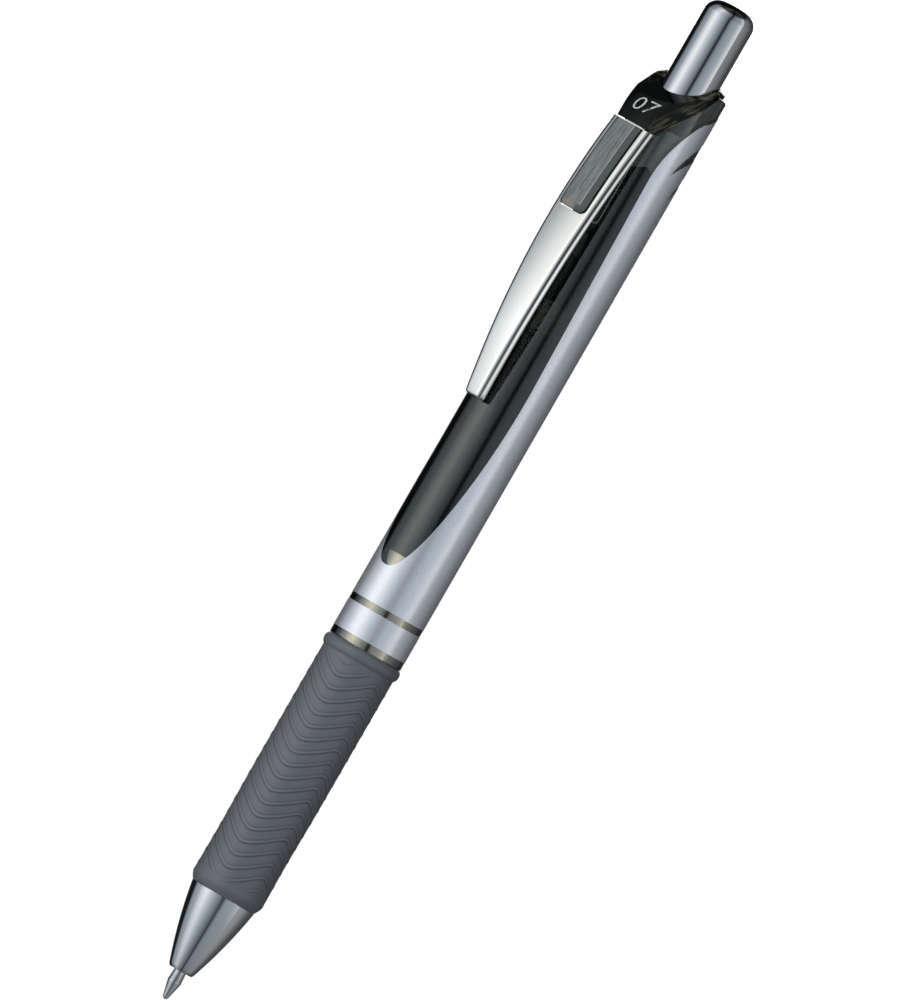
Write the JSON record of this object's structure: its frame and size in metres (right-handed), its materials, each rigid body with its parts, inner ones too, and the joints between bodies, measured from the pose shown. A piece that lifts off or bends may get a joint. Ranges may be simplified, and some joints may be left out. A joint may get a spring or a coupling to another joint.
{
  "type": "retractable gel pen",
  "caption": "Push-knob gel pen with a bowed pocket clip, ribbed rubber grip, bright nose cone, silver-coated smoke-clear barrel with a long ink window, and a full click mechanism and refill.",
  "frame": {"origin": "the writing point, at the bottom of the rolling ball", "axes": "+Z along the pen from the writing point to the push knob, -Y towards the pocket clip"},
  "size_m": [0.0108, 0.014, 0.145],
  "materials": {
    "smoke_clear_plastic": "clear smoke grey, polished",
    "tan_pearl_plastic": "glossy tan pearl",
    "silver_lacquer": "pearl silver lacquer",
    "grip_rubber": "matt, fine arched grooves",
    "bright_plate": "bright plated",
    "black_smoke_plastic": "gloss, nearly black",
    "satin_steel": "satin stainless sheet",
    "grey_clear_plastic": "clear grey, moulded",
    "black_plastic": "moulded black",
    "cam_plastic": "moulded acetal",
    "spring_wire": "drawn wire",
    "tube_plastic": "clear extruded tube",
    "tip_steel": "turned",
    "hard_ball": "polished",
    "black_gel": "wet gel",
    "clear_grease": "clear grease"
  },
  "bodies": {
    "barrel": {"barrel": "smoke_clear_plastic", "front_section": "tan_pearl_plastic", "silver_coat": "silver_lacquer", "grip_sleeve": "grip_rubber", "top_collar": "black_smoke_plastic", "cam_sleeve": "cam_plastic"},
    "knob": {"knob": "bright_plate", "thrust_cam": "cam_plastic"},
    "refill": {"refill_tube": "tube_plastic", "tip_holder": "black_plastic", "writing_tip": "tip_steel", "gel_ink": "black_gel", "ink_follower": "clear_grease", "tail_plug": "black_plastic", "rotor": "black_plastic", "return_spring": "spring_wire"},
    "ball": {"tip_ball": "hard_ball"},
    "nose": {"nose_cone": "bright_plate"},
    "clip": {"clip": "satin_steel", "clip_insert": "grey_clear_plastic", "clip_foot": "black_plastic"}
  },
  "joints": [
    {"name": "knob_press", "type": "slide", "parent": "barrel", "child": "knob", "axis": [0, 0, -1], "range_m": [-0.0052, 0.0012]},
    {"name": "refill_feed", "type": "slide", "parent": "barrel", "child": "refill", "axis": [0, 0, -1], "range_m": [-0.0052, 0.0012], "deforming": ["return_spring"]},
    {"name": "ball_roll", "type": "hinge", "parent": "refill", "child": "ball", "pos_m": [0, 0, 0.00035], "axis": [1, 0, 0], "continuous": true},
    {"name": "nose_unscrew", "type": "slide", "parent": "barrel", "child": "nose", "axis": [0, 0, -1], "range_m": [0, 0.03]},
    {"name": "clip_flex", "type": "hinge", "parent": "barrel", "child": "clip", "pos_m": [0, -0.00565, 0.12545], "axis": [-1, 0, 0], "range_deg": [0, 6], "stiffness_Nm_per_rad": 1.5}
  ],
  "couplings": [
    {"joint": "refill_feed", "follows": "knob_press", "ratio": 1}
  ]
}
